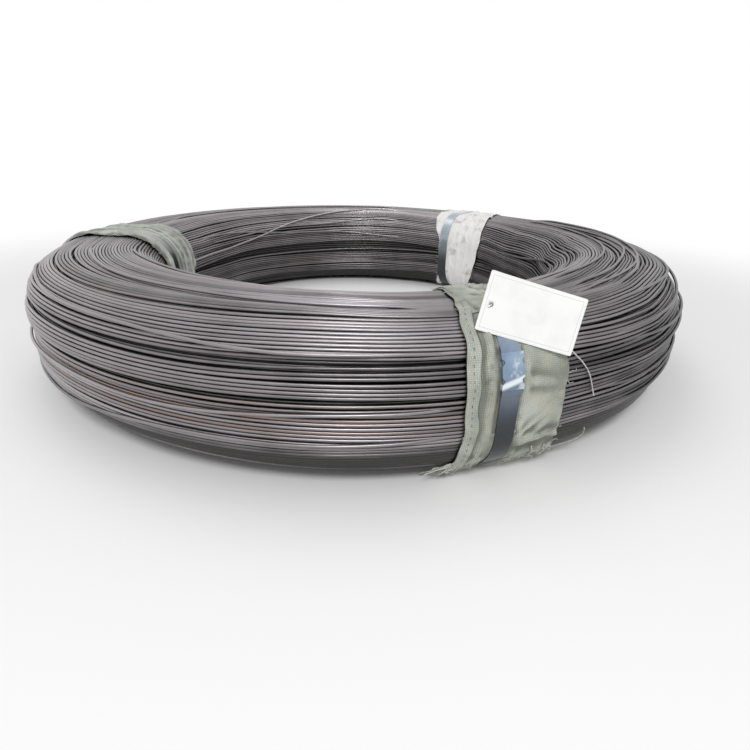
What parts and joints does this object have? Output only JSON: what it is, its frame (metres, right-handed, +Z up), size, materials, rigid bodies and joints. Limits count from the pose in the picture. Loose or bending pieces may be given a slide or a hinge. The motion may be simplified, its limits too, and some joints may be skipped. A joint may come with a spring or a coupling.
{
  "type": "coil of stainless steel wire",
  "caption": "Coil of cold drawn stainless steel wire lying flat, tied with blued steel straps over cloth pads and marked with a plain card tag.",
  "frame": {"origin": "on the coil's axis, at the floor that the straps' undersides stand on", "axes": "+Z up along the coil's axis, -Y to the front, where the tag is, and +X to the right"},
  "size_m": [0.9341, 0.93, 0.1956],
  "materials": {
    "drawn_wire": "satin cold drawn stainless steel, slightly warm grey",
    "khaki_cloth": "coarse pale khaki woven cloth, frayed at its edges",
    "white_cloth": "used white woven cloth with grey stains",
    "grey_cloth": "creased grey-green woven cloth",
    "blued_strap": "smooth blued steel strapping with a low sheen",
    "tag_card": "matt white card with a thin plain border line",
    "binding_wire": "galvanised soft iron binding wire"
  },
  "bodies": {
    "root": {"wire_coil": "drawn_wire", "pad_front": "khaki_cloth", "pad_back": "white_cloth", "pad_left": "grey_cloth", "strap_front": "blued_strap", "strap_back": "blued_strap", "strap_left": "blued_strap", "seal_front": "blued_strap", "seal_back": "blued_strap", "seal_left": "blued_strap", "tag_card": "tag_card", "tag_wire": "binding_wire"}
  },
  "joints": []
}
